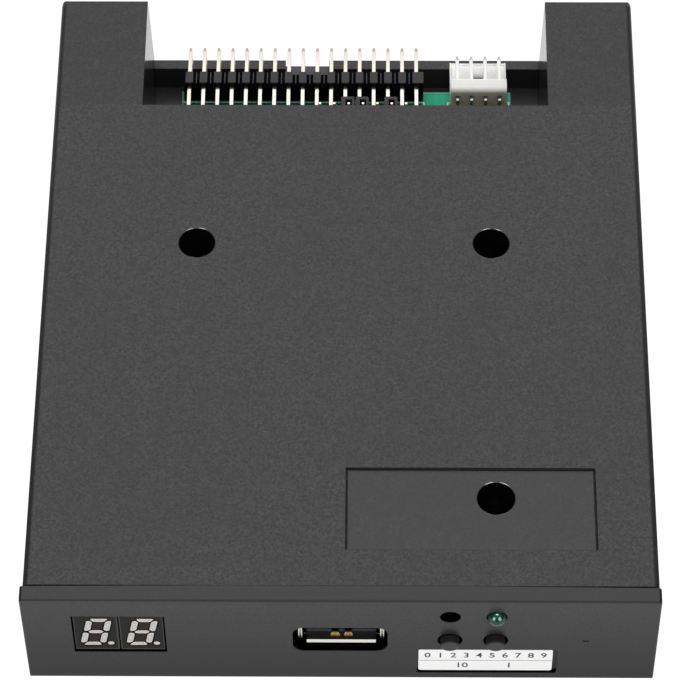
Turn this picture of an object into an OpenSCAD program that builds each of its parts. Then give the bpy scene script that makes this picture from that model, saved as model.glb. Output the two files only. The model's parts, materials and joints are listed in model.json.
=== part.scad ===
// A 3.5-inch bay drive emulator: a two-shell plastic case with a front bezel,
// a USB socket, a two-digit display, two push buttons and a status lamp in
// front, and a 34-pin header, a jumper block and a power socket in the open
// notch at the back.
//
// Frame: X to the right, Y from the bezel to the back, Z up, in millimetres.
// The origin is the middle of the bottom of the whole box. Inside the modules
// Y is counted from the seam between the bezel and the case (at_seam).

/* [Case] */
// Width of the two case shells
case_w = 101.6; // [101.4:0.1:101.8]
// Depth of the case shells, from the bezel seam to the back
case_d = 121.9; // [121.5:0.1:123]
// Height of the case
case_h = 24.1; // [24:0.1:24.3]
// Thickness of the case walls, the floor and the top
wall = 2; // [1.9:0.1:2.1]
// Height of the line where the top cover meets the bottom tray
split_z = 7.5; // [7.4:0.1:7.6]
// Radius of the long upper edges of the case
edge_r = 1.2; // [0.6:0.1:1.4]
// Radius of the upper rear edge of the case
rear_r = 0.25; // [0.2:0.05:0.6]
// Gap between the case shells and the bezel
seam_gap = 0.17; // [0.1:0.01:0.3]
// Width of the open notch for the rear connectors, at the top
notch_w = 70.9; // [70.5:0.1:71.2]
// Draft of each side of the notch from top to floor
notch_draft = 0.5; // [0:0.1:0.6]
// Distance of the front edge of the notch from the seam
notch_y = 98.13; // [98:0.01:98.5]

/* [Bezel] */
// Width of the bezel
bezel_w = 102.2; // [102:0.1:102.4]
// Height of the bezel
bezel_h = 24.4; // [24.3:0.1:24.6]
// Thickness of the bezel plate
bezel_t = 2.9; // [2.8:0.05:3]
// How far the ends of the bezel draw away from the case
bezel_bow = 0.25; // [0:0.05:0.3]
// Sideways offset of the front panel layout from the middle of the case
panel_x = -0.11; // [-0.2:0.01:0.2]
// How far the lamp stands in front of the bezel
lamp_proud = 1.45; // [1.3:0.05:1.45]
// How far the buttons stand in front of the bezel
button_proud = 1.25; // [1:0.05:1.3]

/* [Case screws] */
// Spacing of the two rear screw wells
well_w = 50; // [49.8:0.1:50.2]
// Distance of the rear screw wells from the seam
well_rear_y = 68.13; // [68:0.01:68.3]
// Distance of the front screw well from the seam
well_front_y = 17.06; // [16.9:0.01:17.2]
// Diameter of the screw wells
well_dia = 6.2; // [6:0.1:6.3]

/* [Mounting holes] */
// Diameter of the mounting screw holes
mount_dia = 2.6; // [2.4:0.1:2.8]
// Spacing of the mounting holes from front to back
mount_pitch_y = 70; // [69.5:0.5:70]
// Distance of the front side holes from the seam
side_hole_y = 21; // [20.5:0.5:21.5]
// Height of the side holes above the bottom
side_hole_z = 5; // [4.8:0.1:5]
// Distance of the front bottom holes from the seam
bottom_hole_y = 31; // [30.5:0.5:31.5]
// Spacing of the bottom holes across the case
bottom_hole_w = 95.25; // [94.75:0.25:95.25]

/* [Board] */
// Width of the main board
board_w = 59.1; // [59:0.1:59.6]
// Distance of the rear edge of the main board from the seam
board_rear_y = 112.75; // [112.5:0.05:113]
// Height of the top face of the main board
board_top = 9.6; // [9.55:0.05:9.65]
// Thickness of the main board
board_t = 1.6; // [1.5:0.1:1.6]

/* [Connectors] */
// Pin pitch of the header and the jumper block
pitch = 2.54; // [2.5:0.01:2.56]
// Side of a square pin
pin_s = 0.64; // [0.6:0.02:0.66]
// Middle of the 34-pin header
header_x = -7.75; // [-8:0.05:-7.5]
// First column of the jumper block
jumper_x = -4.55; // [-4.7:0.05:-4.4]
// Middle of the power socket
power_x = 23.7; // [23.5:0.05:23.9]
// Pin pitch of the power socket
power_pitch = 2.5; // [2.46:0.01:2.54]

/* [Hidden] */
$fn = 48;

case_grey = [0.29, 0.29, 0.30];
dark = [0.07, 0.07, 0.075];
metal = [0.78, 0.78, 0.77];
gold = [0.86, 0.78, 0.62];

total_d = case_d + bezel_t + lamp_proud;
seam_y = -total_d / 2 + lamp_proud + bezel_t;
in_x = case_w / 2 - wall;
rear_in = case_d - wall;
roof = case_h - wall;
// radius of the lower edges, gap of the parting line, offset of the bezel
foot_r = 0.6;
parting = 0.12;
bezel_x = -0.07;
board_bot = board_top - board_t;
wells = [[-well_w / 2, well_rear_y], [well_w / 2, well_rear_y], [well_w / 2, well_front_y]];
front = -bezel_t;

// front panel positions: x and height
win = [-43.11, -28.11, 8.31, 19.45];
lamp_pos = [25.04, 19.56];
spare_pos = [17.61, 19.56];
button_x = [17.65, 25.02];
button_z = 12.38;
digit_x = [-39.35, -31.95];
digit_z = 14.0;
slant = tan(10);

// --- helpers -----------------------------------------------------------
module at_seam() translate([0, seam_y, 0]) children();
module at_panel() translate([panel_x, seam_y, 0]) children();

module box(x0, x1, y0, y1, z0, z1) translate([x0, y0, z0]) cube([x1 - x0, y1 - y0, z1 - z0]);

// a flat outline given in (y, z), drawn out along X
module along_x(x0, x1) translate([x0, 0, 0]) rotate([90, 0, 90]) linear_extrude(x1 - x0) children();

// a flat outline given in (x, z), drawn out along Y
module along_y(y0, y1) translate([0, y1, 0]) rotate([90, 0, 0]) linear_extrude(y1 - y0) children();

// a rectangle with round corners
module rrect(x0, x1, y0, y1, r) {
  translate([x0 + r, y0]) square([x1 - x0 - 2 * r, y1 - y0]);
  translate([x0, y0 + r]) square([x1 - x0, y1 - y0 - 2 * r]);
  for (x = [x0 + r, x1 - r], y = [y0 + r, y1 - r]) translate([x, y]) circle(r);
}

function arc(cx, cy, r, a0, a1, n = 8) = [for (i = [0:n]) [cx + r * cos(a0 + (a1 - a0) * i / n), cy + r * sin(a0 + (a1 - a0) * i / n)]];

// a rod along Y from y0 to y1 at x, z
module rod_y(x, z, r, y0, y1) translate([x, y0, z]) rotate([-90, 0, 0]) cylinder(r = r, h = y1 - y0);

// a rod along X from x0 to x1 at y, z
module rod_x(y, z, r, x0, x1) translate([x0, y, z]) rotate([0, 90, 0]) cylinder(r = r, h = x1 - x0);

// --- enclosure ---------------------------------------------------------
// plan outline of the case with small round rear corners
module case_plan() intersection() {
  rrect(-case_w / 2, case_w / 2, -20, case_d, 0.7);
  translate([-case_w, seam_gap]) square([2 * case_w, case_d + 5]);
}

module lid_block() intersection() {
  translate([0, 0, split_z + parting]) linear_extrude(case_h - split_z - parting) case_plan();
  along_y(0, case_d + 1) rrect(-case_w / 2, case_w / 2, -10, case_h, edge_r);
  along_x(-case_w, case_w) rrect(-20, case_d, -10, case_h, rear_r);
}

// outline of the inner wall of the right ear
module ear_wall_outline(z0, z1) polygon([
  [notch_w / 2 - notch_draft * (case_h - z0) / 22, z0], [notch_w / 2 + wall + 0.05, z0],
  [notch_w / 2 + wall + 0.05, z1], [notch_w / 2 - notch_draft * (case_h - z1) / 22, z1]]);

module top_cover() color(case_grey) at_seam() difference() {
  union() {
    difference() {
      lid_block();
      box(-in_x, in_x, -1, notch_y, 0, roof);
      for (s = [0, 1]) mirror([s, 0, 0]) box(notch_w / 2 + wall + 0.05, in_x, notch_y - 1, rear_in, 0, roof);
      along_y(notch_y, case_d + 5) polygon([
        [-notch_w / 2, case_h + 1], [notch_w / 2, case_h + 1], [notch_w / 2, case_h],
        [notch_w / 2 - notch_draft, case_h - 22], [-notch_w / 2 + notch_draft, case_h - 22], [-notch_w / 2, case_h]]);
    }
    // the walls beside the notch reach down to the floor of the tray
    for (s = [0, 1]) mirror([s, 0, 0]) along_y(notch_y, rear_in - 0.15) ear_wall_outline(wall + 0.15, split_z + 1);
    // screw wells that clamp the main board
    for (p = wells) translate([p.x, p.y, board_top + 0.05]) cylinder(r = well_dia / 2 + 1.3, h = roof - board_top + 0.5);
  }
  for (p = wells) translate([p.x, p.y, 0]) {
    translate([0, 0, board_top + 2.1]) cylinder(r = well_dia / 2, h = 30);
    cylinder(r = 1.5, h = 30);
    // broken edge at the mouth
    translate([0, 0, (p.y < 22 ? case_h - 0.45 : case_h) - 0.1]) cylinder(r1 = well_dia / 2, r2 = well_dia / 2 + 0.12, h = 0.12);
  }
  // shallow field for a label, with a fine groove on three sides
  translate([0, 0, case_h - 0.45]) linear_extrude(2) rrect(0.81, 41.03, 6.93, 22.5, 0.15);
  for (b = [[0.66, 0.96, 6.93], [40.88, 41.18, 6.93], [0.66, 41.18, 22.32]]) box(b[0], b[1], b[2], 22.6, case_h - 1, case_h + 1);
  // step that laps over the lip of the tray
  for (s = [0, 1]) mirror([s, 0, 0]) box(in_x - 0.5, in_x + 1.05, 5.8, 95, split_z - 1, split_z + 1.3);
  // pockets for the catches of the bezel
  for (x = [-44, 44]) box(x - 3.8, x + 3.8, 4.4, 7.7, roof - 1, roof + 0.9);
}

module tray_block() intersection() {
  linear_extrude(split_z) case_plan();
  along_y(0, case_d + 1) rrect(-case_w / 2, case_w / 2, 0, 40, foot_r);
  along_x(-case_w, case_w) rrect(-20, case_d, 0, 40, foot_r);
}

bottom_holes = [for (x = [-1, 1], y = [0, 1]) [x * bottom_hole_w / 2, bottom_hole_y + y * mount_pitch_y]];
side_holes = [side_hole_y, side_hole_y + mount_pitch_y];
posts = [[-11, 9], [11, 9], [-20, 105.5], [0, 96], [16, 105.5], [-25, 40], [25, 40]];

module bottom_tray() color(case_grey) at_seam() difference() {
  union() {
    difference() {
      tray_block();
      box(-in_x, in_x, -1, rear_in, wall, 30);
    }
    // lip inside the top cover
    for (s = [0, 1]) mirror([s, 0, 0]) box(in_x - 0.02, in_x + 0.9, 6, 94.8, split_z - 1, split_z + 1.1);
    // bosses for the case screws, and plain posts under the board
    for (p = wells) translate([p.x, p.y, 1]) cylinder(r = 3.4, h = board_bot - 1);
    for (p = posts) translate([p.x, p.y, 1]) cylinder(r = 2.2, h = board_bot - 1);
    translate([-well_w / 2, well_front_y, 1]) { cylinder(r = 3.4, h = board_bot - 1); cylinder(r = 1.45, h = board_top - 1.2); }
    // blocks behind the side holes
    for (s = [0, 1], y = side_holes) mirror([s, 0, 0]) box(in_x - 6, in_x + 0.5, y - 4, y + 4, 1, split_z);
    // bosses over the bottom holes
    for (p = bottom_holes) translate([p.x, p.y, 1]) cylinder(r = 2.9, h = split_z - 1);
  }
  for (p = wells) translate([p.x, p.y, wall + 0.6]) cylinder(r = 1.35, h = 20);
  for (p = bottom_holes) translate([p.x, p.y, -1]) cylinder(d = mount_dia, h = 7);
  for (y = side_holes) {
    rod_x(y, side_hole_z, mount_dia / 2, case_w / 2 - 7, case_w / 2 + 1);
    rod_x(y, side_hole_z, mount_dia / 2, -case_w / 2 - 1, -case_w / 2 + 7);
  }
  // key slot in the rear wall
  box(-11.09, -3.18, rear_in - 1, case_d + 1, 5.85, 30);
  for (x = [-44, 44]) box(x - 3.8, x + 3.8, 4.4, 7.7, wall - 0.9, wall + 1);
}

// plate whose back edge runs forward a little towards its two ends
module bezel_plate() translate([bezel_x, 0, 0]) intersection() {
  along_y(front, 0) rrect(-bezel_w / 2, bezel_w / 2, 0, bezel_h, 0.6);
  linear_extrude(bezel_h) intersection() {
    rrect(-bezel_w / 2, bezel_w / 2, front, 10, 0.3);
    polygon([[-bezel_w, front - 1], [bezel_w, front - 1], [bezel_w, -2 * bezel_bow], [bezel_w / 2, -bezel_bow], [20, 0], [-20, 0], [-bezel_w / 2, -bezel_bow], [-bezel_w, -2 * bezel_bow]]);
  }
  along_x(-bezel_w, bezel_w) polygon(concat(arc(front + 0.45, 0.45, 0.45, 270, 180), arc(front + 0.25, bezel_h - 0.25, 0.25, 180, 90, 6), [[10, bezel_h], [10, 0]]));
}

rim_x = case_w / 2 - wall - 0.2;

module front_bezel() color(case_grey) at_seam() difference() {
  union() {
    bezel_plate();
    // rim that sits inside the case
    difference() {
      box(-rim_x, rim_x, -0.5, 4, wall + 0.15, roof - 0.15);
      box(-rim_x + 1.2, rim_x - 1.2, -1, 5, wall + 1.35, roof - 1.35);
    }
    // catches, two above and two below
    for (x = [-44, 44]) {
      along_x(x - 3.4, x + 3.4) polygon([[3.5, roof - 1.35], [7.4, roof - 1.35], [7.4, roof - 0.15], [6.4, roof + 0.6], [4.7, roof + 0.6], [4.7, roof - 0.15], [3.5, roof - 0.15]]);
      along_x(x - 3.4, x + 3.4) polygon([[3.5, wall + 1.35], [3.5, wall + 0.15], [4.7, wall + 0.15], [4.7, wall - 0.6], [6.4, wall - 0.6], [7.4, wall + 0.15], [7.4, wall + 1.35]]);
    }
    // posts for the display board
    for (x = [-45.1, -26]) rod_y(x + panel_x, 6.6, 1.6, -0.5, 3.45);
  }
  translate([panel_x, 0, 0]) {
    box(win[0], win[1], front - 1, 1, win[2], win[3]);
    along_y(front - 1, 1) rrect(-7.7, 7.62, 8.86, 16.16, 2);
    for (p = [lamp_pos, spare_pos]) rod_y(p[0], p[1], 1.67, front - 1, 1);
    for (x = button_x) rod_y(x, button_z, 2.03, front - 1, 1);
    // room for the flange of the lamp in the rim
    rod_y(lamp_pos[0], lamp_pos[1], 2.2, 0, 5);
    along_y(front - 1, front + 0.4) rrect(12.4, 35.15, 1.97, 9.32, 0.4);
    for (x = [-45.1, -26]) rod_y(x, 6.6, 0.8, 0.4, 4);
    // small gate mark
    box(39.0, 40.0, front - 1, front + 0.25, 12.05, 12.42);
  }
}

module case_screws() color(metal) at_seam() for (p = wells) translate([p.x, p.y, 0]) difference() {
  union() {
    translate([0, 0, wall + 0.9]) cylinder(r = 1.3, h = board_top + 2.6 - wall - 0.9);
    translate([0, 0, board_top + 2.15]) intersection() {
      cylinder(r = 2.6, h = 1.7);
      translate([0, 0, -2.2]) sphere(r = 3.9, $fn = 64);
    }
  }
  for (a = [0, 90]) rotate(a) translate([-1.5, -0.28, board_top + 2.9]) cube([3, 0.56, 3]);
}

// --- main board --------------------------------------------------------
module main_board() color([0.05, 0.42, 0.28]) at_seam() difference() {
  translate([0, 0, board_bot]) linear_extrude(board_t) polygon([
    [-23.4, 0.6], [board_w / 2, 0.6], [board_w / 2, board_rear_y], [-board_w / 2, board_rear_y], [-board_w / 2, 8.6], [-23.4, 8.6]]);
  for (p = wells) translate([p.x, p.y, 0]) cylinder(r = 1.6, h = 30);
  translate([-well_w / 2, well_front_y, 0]) cylinder(r = 1.6, h = 30);
}

// a gull-wing lead as an outline in (y, z): foot on the board, root on the body
function gull(l) = [[0, 0], [0.55, 0], [0.75, 0.55], [l, 0.55], [l, 0.72], [0.62, 0.72], [0.42, 0.17], [0, 0.17]];

module microcontroller() color(dark) at_seam() difference() {
  box(-10, 0, 52, 62, board_top + 0.12, board_top + 1.5);
  translate([-8.8, 53.2, board_top + 1.4]) cylinder(r = 0.6, h = 1);
}

module microcontroller_leads() color(metal) at_seam() translate([-5, 57, board_top]) for (a = [0, 90, 180, 270]) rotate(a)
  for (i = [0:15]) translate([(i - 7.5) * 0.5, -6.05, 0]) along_x(-0.11, 0.11) polygon(gull(1.0));

chip_pos = [[-20, 92], [-6, 92], [8, 92]];

module buffer_chips() color(dark) at_seam() for (p = chip_pos) translate([p.x, p.y, board_top]) difference() {
  along_x(-4.33, 4.33) polygon([[-1.85, 0.12], [1.85, 0.12], [1.95, 0.75], [1.85, 1.5], [-1.85, 1.5], [-1.95, 0.75]]);
  translate([-4.33, 0, 1.3]) cylinder(r = 0.6, h = 1);
}

module buffer_chip_leads() color(metal) at_seam() for (p = chip_pos, a = [0, 180]) translate([p.x, p.y, board_top]) rotate(a)
  for (i = [0:6]) translate([(i - 3) * 1.27, -3.0, 0]) along_x(-0.2, 0.2) polygon(gull(1.02));

module crystal_can() color(metal) at_seam() translate([9, 57, board_top]) {
  linear_extrude(0.5) rrect(-5.6, 5.6, -2.35, 2.35, 2.34);
  translate([0, 0, 0.4]) linear_extrude(3.1) rrect(-5.1, 5.1, -1.85, 1.85, 1.84);
}

module voltage_regulator() color(dark) at_seam() translate([20, 92, board_top]) {
  box(-3.25, 3.25, -1.75, 1.75, 0.1, 1.7);
  for (x = [-2.3, 0, 2.3]) box(x - 0.35, x + 0.35, -3.4, -1.7, 0, 0.3);
  box(-1.5, 1.5, 1.7, 3.4, 0, 0.3);
}

module electrolytic_capacitors() color(metal) at_seam() for (p = [[15, 82], [23.5, 82]]) translate([p.x, p.y, board_top]) {
  linear_extrude(0.9) polygon([[-3.3, -3.3], [2.3, -3.3], [3.3, -2.3], [3.3, 2.3], [2.3, 3.3], [-3.3, 3.3]]);
  translate([0, 0, 0.8]) cylinder(r = 3.1, h = 1);
  translate([0, 0, 1.7]) cylinder(r = 2.85, h = 0.6);
  translate([0, 0, 2.2]) cylinder(r = 3.1, h = 3.6);
}

// small resistors and capacitors, each a block with two end caps
module chip_components() color([0.55, 0.45, 0.33]) at_seam() {
  for (i = [0:6]) translate([-20 + i * 4.4, 83, board_top]) box(-0.4, 0.4, -0.8, 0.8, 0, 0.5);
  for (i = [0:4]) translate([-16.5, 50 + i * 3, board_top]) box(-0.8, 0.8, -0.4, 0.4, 0, 0.6);
  for (i = [0:3]) translate([4 + i * 4, 68, board_top]) box(-0.4, 0.4, -0.8, 0.8, 0, 0.6);
  for (i = [0:2]) translate([10 + i * 3, 20, board_top]) box(-0.4, 0.4, -0.8, 0.8, 0, 0.5);
}

// --- rear connectors ---------------------------------------------------
hdr_y = [110.69, 113.19];
hdr_rows = [[board_top + 4.0, 106.35], [board_top + 1.46, 108.89]];
hdr_tip = 119.6;
hdr_x0 = header_x - 8 * pitch;

// block of 17 cells, with a groove and a thin web between the cells
hdr_cell = [[-0.68, 5.3], [0.68, 5.3], [0.68, 3.7], [pitch / 2 - 0.1, 3.7], [pitch / 2 - 0.1, 5.05], [pitch / 2 + 0.1, 5.05], [pitch / 2 + 0.1, 3.7], [pitch - 0.68, 3.7]];
hdr_end = [[-0.68, 5.3], [1.16, 5.3], [1.27, 5.15], [1.27, 0.1]];
module floppy_header_body() color(dark) at_seam() along_y(hdr_y[0], hdr_y[1]) polygon(concat(
  [[hdr_x0 - 1, board_top + 0.1], [hdr_x0 - 1, board_top + 3.7], [hdr_x0 - 0.68, board_top + 3.7]],
  [for (i = [0:16], p = i < 16 ? hdr_cell : hdr_end) [hdr_x0 + i * pitch + p.x, board_top + p.y]]));

// a bent square pin: outline in (y, z) with a tapered tip
function bent_pin(tip, z, leg, zb, s) = concat(
  [[tip, z - s * 0.25], [tip, z + s * 0.25], [tip - 0.9, z + s / 2]],
  arc(leg - s / 2 + 0.6, z + s / 2 - 0.6, 0.6, 90, 180),
  [[leg - s / 2, zb], [leg + s / 2, zb]],
  arc(leg + s / 2 + 0.26, z - s / 2 - 0.26, 0.26, 180, 90, 4),
  [[tip - 0.9, z - s / 2]]);

module square_pin(tip, z, leg, zb, s) intersection() {
  along_x(-s / 2, s / 2) polygon(bent_pin(tip, z, leg, zb, s));
  linear_extrude(30) polygon([[-s / 2, leg - 2], [s / 2, leg - 2], [s / 2, tip - 0.9], [s * 0.25, tip], [-s * 0.25, tip], [-s / 2, tip - 0.9]]);
}

module floppy_header_pins() color(gold) at_seam() for (i = [0:16], r = hdr_rows)
  translate([hdr_x0 + i * pitch, 0, 0]) square_pin(hdr_tip, r[0], r[1], board_top, pin_s);

jmp_y = [100.91, 103.45];
jmp_tip = 18.05;
jmp_top = board_top + 2.54;

module jumper_header_body() color(dark) at_seam() translate([0, 0, board_top]) linear_extrude(2.54) union() {
  for (i = [0:6], y = jmp_y) translate([jumper_x + i * pitch, y]) {
    polygon([[-0.95, -1.27], [0.95, -1.27], [1.27, -0.95], [1.27, 0.95], [0.95, 1.27], [-0.95, 1.27], [-1.27, 0.95], [-1.27, -0.95]]);
  }
  translate([jumper_x - 1, jmp_y[0] - 0.8]) square([6 * pitch + 2, pitch + 1.6]);
}

module jumper_header_pins() color(gold) at_seam() for (i = [0:6], y = jmp_y) translate([jumper_x + i * pitch, y, 0]) intersection() {
  along_x(-pin_s / 2, pin_s / 2) polygon([[-pin_s / 2, board_top], [pin_s / 2, board_top], [pin_s / 2, jmp_tip - 0.45], [0.2, jmp_tip], [-0.2, jmp_tip], [-pin_s / 2, jmp_tip - 0.45]]);
  along_y(-pin_s / 2, pin_s / 2) polygon([[-pin_s / 2, board_top], [pin_s / 2, board_top], [pin_s / 2, jmp_tip - 0.45], [0.2, jmp_tip], [-0.2, jmp_tip], [-pin_s / 2, jmp_tip - 0.45]]);
}

// a jumper cap: an open-topped block with a cell for each of two pins
module jumper_cap(i) color(dark) at_seam() translate([jumper_x + i * pitch, (jmp_y[0] + jmp_y[1]) / 2, 0]) difference() {
  translate([-0.15, 0, jmp_top + 0.16]) linear_extrude(6.1) polygon([
    [-1.17, -2.3], [-0.95, -2.5], [0.95, -2.5], [1.17, -2.3], [1.17, 2.3], [0.95, 2.5], [-0.95, 2.5], [-1.17, 2.3]]);
  for (y = [-pitch / 2, pitch / 2]) translate([-0.55, y - 0.58, 0]) cube([1.1, 1.16, 40]);
  // the cells open into each other at the top
  translate([-0.55, -1.5, jmp_top + 5.2]) cube([1.1, 3, 10]);
}
module jumper_cap_left() jumper_cap(2);
module jumper_cap_middle() jumper_cap(3);
module jumper_cap_right() jumper_cap(5);

pw_y = [108.48, 111.13];
pw_x = [for (i = [0:3]) power_x + (i - 1.5) * power_pitch];

module power_socket_body() color([0.88, 0.88, 0.86]) at_seam() union() {
  difference() {
    union() {
      // block with a round front edge
      along_x(power_x - 5, power_x + 5) polygon(concat(
        [[pw_y[0], board_top], [pw_y[1], board_top], [pw_y[1], board_top + 5.9]],
        arc(pw_y[0] + 0.8, board_top + 5.1, 0.8, 90, 180)));
      // floor under the pins, with a low rim
      box(power_x - 5.05, power_x + 5.05, pw_y[1] - 0.5, 118.05, board_top, board_top + 1.6);
      for (s = [-1, 1]) translate([power_x + s * 4.9, 0, 0]) box(-0.15, 0.15, pw_y[1] - 0.5, 118.05, board_top + 1, board_top + 1.95);
      box(power_x - 5.05, power_x + 5.05, 117.8, 118.05, board_top + 1, board_top + 1.8);
    }
    // window in front of the ramp, wider below
    box(power_x - 0.93, power_x + 0.93, 113.2, 115.5, board_top - 1, board_top + 3);
    box(power_x - 0.93, power_x + 0.93, 113.2, 116.5, board_top - 1, board_top + 1.2);
    // shallow wells where the pins come out
    for (x = pw_x) rod_y(x, board_top + 3.85, 0.53, pw_y[0] - 1, pw_y[0] + 0.3);
  }
  // locking ramp over the rear end of the window
  along_x(power_x - 0.95, power_x + 0.95) polygon([[115.12, board_top + 1.25], [115.12, board_top + 1.4], [115.45, board_top + 1.9], [115.7, board_top + 1.9], [116.9, board_top + 1.55], [116.9, board_top + 1.25]]);
}

// pins that narrow where they leave the body and bend down
module power_socket_pins() color(metal) at_seam() for (x = pw_x) translate([x, 0, 0]) intersection() {
  square_pin(117.85, board_top + 3.85, pw_y[0] - 0.75, board_top, pin_s);
  linear_extrude(30) polygon([for (q = [[0.24, 100], [0.24, pw_y[0] + 0.1], [0.4, pw_y[0] + 0.3], [0.4, 120], [-0.4, 120], [-0.4, pw_y[0] + 0.3], [-0.24, pw_y[0] + 0.1], [-0.24, 100]]) q]);
}

// --- USB socket --------------------------------------------------------
usb_z = [board_top + 0.02, board_top + 5.72];
usb_mouth = front + 1.3;

// outline of the lower lip in (y, z), flared down at the mouth
usb_lip = [[0, -0.49], [0, -0.3], [0.26, 0.22], [0.9, 0.22], [1.35, 0.3], [1.7, 0.3], [1.7, 0], [1.35, 0], [1, -0.2], [0.26, -0.2], [0.13, -0.49]];
module usb_shell() color(metal) at_seam() {
  difference() {
    along_y(usb_mouth + 1.4, 12.4) rrect(-6.6, 6.6, usb_z[0], usb_z[1], 0.6);
    along_y(usb_mouth - 1, 12.1) rrect(-6.3, 6.3, usb_z[0] + 0.3, usb_z[1] - 0.3, 0.3);
  }
  // lips above and below, and a folded lip on each side
  for (s = [0, 1]) translate([0, 0, (usb_z[0] + usb_z[1]) / 2]) mirror([0, 0, s]) translate([0, 0, -(usb_z[0] + usb_z[1]) / 2])
    along_x(-5.6, 5.6) polygon([for (q = usb_lip) [usb_mouth + q.x, usb_z[0] + q.y]]);
  for (s = [0, 1]) mirror([s, 0, 0]) translate([0, 0, usb_z[0] + 0.95]) linear_extrude(3.8)
    polygon([for (q = [[6.94, 0], [6.78, 0], [6.62, 0.3], [6.5, 0.08], [6.3, 0.08], [6.3, 1.7], [6.6, 1.7], [6.6, 0.9], [6.74, 0.5]]) [q.x, usb_mouth + q.y]]);
}

module usb_tongue() color(dark) at_seam() {
  box(-6.2, 6.2, 8.5, 12.05, usb_z[0] + 0.35, usb_z[1] - 0.35);
  along_x(-5.6, 5.6) polygon([[usb_mouth + 0.4, board_top + 0.42], [8.6, board_top + 0.42], [8.6, board_top + 2.3], [usb_mouth + 0.52, board_top + 2.3], [usb_mouth + 0.4, board_top + 2.18]]);
}

// the outer two contacts end further in than the inner two
module usb_contacts() color(gold) at_seam() {
  for (x = [-3.5, 3.5]) along_x(x - 0.5, x + 0.5)
    polygon([[usb_mouth + 1.8, board_top + 2.33], [8.4, board_top + 2.33], [8.4, board_top + 2.5], [usb_mouth + 1.9, board_top + 2.5]]);
  // the two middle ones end in a rounded nose in front of the tongue
  for (q = [[-0.94, 0.76], [1.15, 0.72]]) {
    intersection() {
      along_x(q[0] - 1, q[0] + 1) polygon([for (v = [[0.37, 1.05], [0.26, 1.15], [0.21, 1.4], [0.195, 1.75], [0.22, 2.1], [0.3, 2.3], [0.37, 2.36]]) [usb_mouth + v.x, board_top + v.y]]);
      along_y(usb_mouth, usb_mouth + 0.5) rrect(q[0] - q[1], q[0] + q[1], board_top + 1.05, board_top + 2.4, 0.5);
    }
    along_x(q[0] - 0.55, q[0] + 0.55) polygon([for (v = [[0.34, 1.9], [0.37, 1.9], [0.37, 2.33], [10, 2.33], [10, 2.5], [0.6, 2.5], [0.34, 2.35]]) [usb_mouth + v.x, board_top + v.y]]);
  }
}

// --- buttons, lamp and display ------------------------------------------
module button(x) color(dark) at_panel() translate([x, 0, button_z]) rotate([-90, 0, 0]) translate([0, 0, front - button_proud])
  rotate_extrude($fn = 64) polygon([[0, 0], [1.28, 0], [1.42, 0.06], [1.5, 0.2], [1.5, bezel_t + button_proud + 1.35], [2.1, bezel_t + button_proud + 1.35], [2.1, bezel_t + button_proud + 2.2], [0, bezel_t + button_proud + 2.2]]);
module left_button() button(button_x[0]);
module right_button() button(button_x[1]);

sw_top = board_top + 5.6;

module switch_housings() color(dark) at_panel() for (x = button_x) difference() {
  box(x - 3, x + 3, 1.2, 3.9, board_top + 0.02, sw_top);
  rod_y(x, button_z, 2.4, 0, 3.1);
}

module switch_covers() color(metal) at_panel() for (x = button_x) difference() {
  box(x - 3, x + 3, 0.35, 1.15, board_top + 0.02, sw_top);
  rod_y(x, button_z, 1.8, 0, 2);
}

module switch_discs() color(metal) at_panel() for (x = button_x) rod_y(x, button_z, 2.2, 2.9, 3.05);

module switch_brackets() color(metal) at_panel() for (x = button_x) {
  box(x - 3.35, x + 3.35, 3.95, 4.25, board_top + 0.02, board_top + 4.5);
  for (s = [-1, 1]) translate([x + s * 3.2, 0, 0]) box(-0.15, 0.15, 1.3, 4.1, board_top + 0.02, board_top + 3.4);
}

module status_lamp() color([0.02, 0.25, 0.14]) at_panel() translate([lamp_pos[0], 0, lamp_pos[1]]) rotate([-90, 0, 0]) translate([0, 0, front - lamp_proud])
  rotate_extrude($fn = 64) polygon(concat(
    [for (i = [0:16]) [1.5 * sin(i * 90 / 16), 1.5 - 1.5 * cos(i * 90 / 16)]],
    [[1.5, bezel_t + lamp_proud + 0.1], [1.9, bezel_t + lamp_proud + 0.1], [1.9, bezel_t + lamp_proud + 1.1], [0, bezel_t + lamp_proud + 1.1]]));

module status_lamp_leads() color(metal) at_panel() for (s = [-1, 1]) translate([lamp_pos[0] + s * 1.27, 0, 0]) along_x(-0.23, 0.23)
  polygon([[1.1, lamp_pos[1] - 0.23], [1.1, lamp_pos[1] + 0.23], [6.2, lamp_pos[1] + 0.23], [6.65, lamp_pos[1] - 0.2], [6.65, board_top], [6.19, board_top], [6.19, lamp_pos[1] - 0.23]]);

// an outline with its corners rounded over a length r
function round_poly(p, r, n = 4) = let (m = len(p)) [for (i = [0:m - 1])
  let (a = p[(i + m - 1) % m] - p[i], c = p[(i + 1) % m] - p[i], q = p[i] + a * min(r / norm(a), 0.48), e = p[i] + c * min(r / norm(c), 0.48))
  for (k = [0:n]) q * pow(1 - k / n, 2) + p[i] * 2 * (k / n) * (1 - k / n) + e * pow(k / n, 2)];

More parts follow.
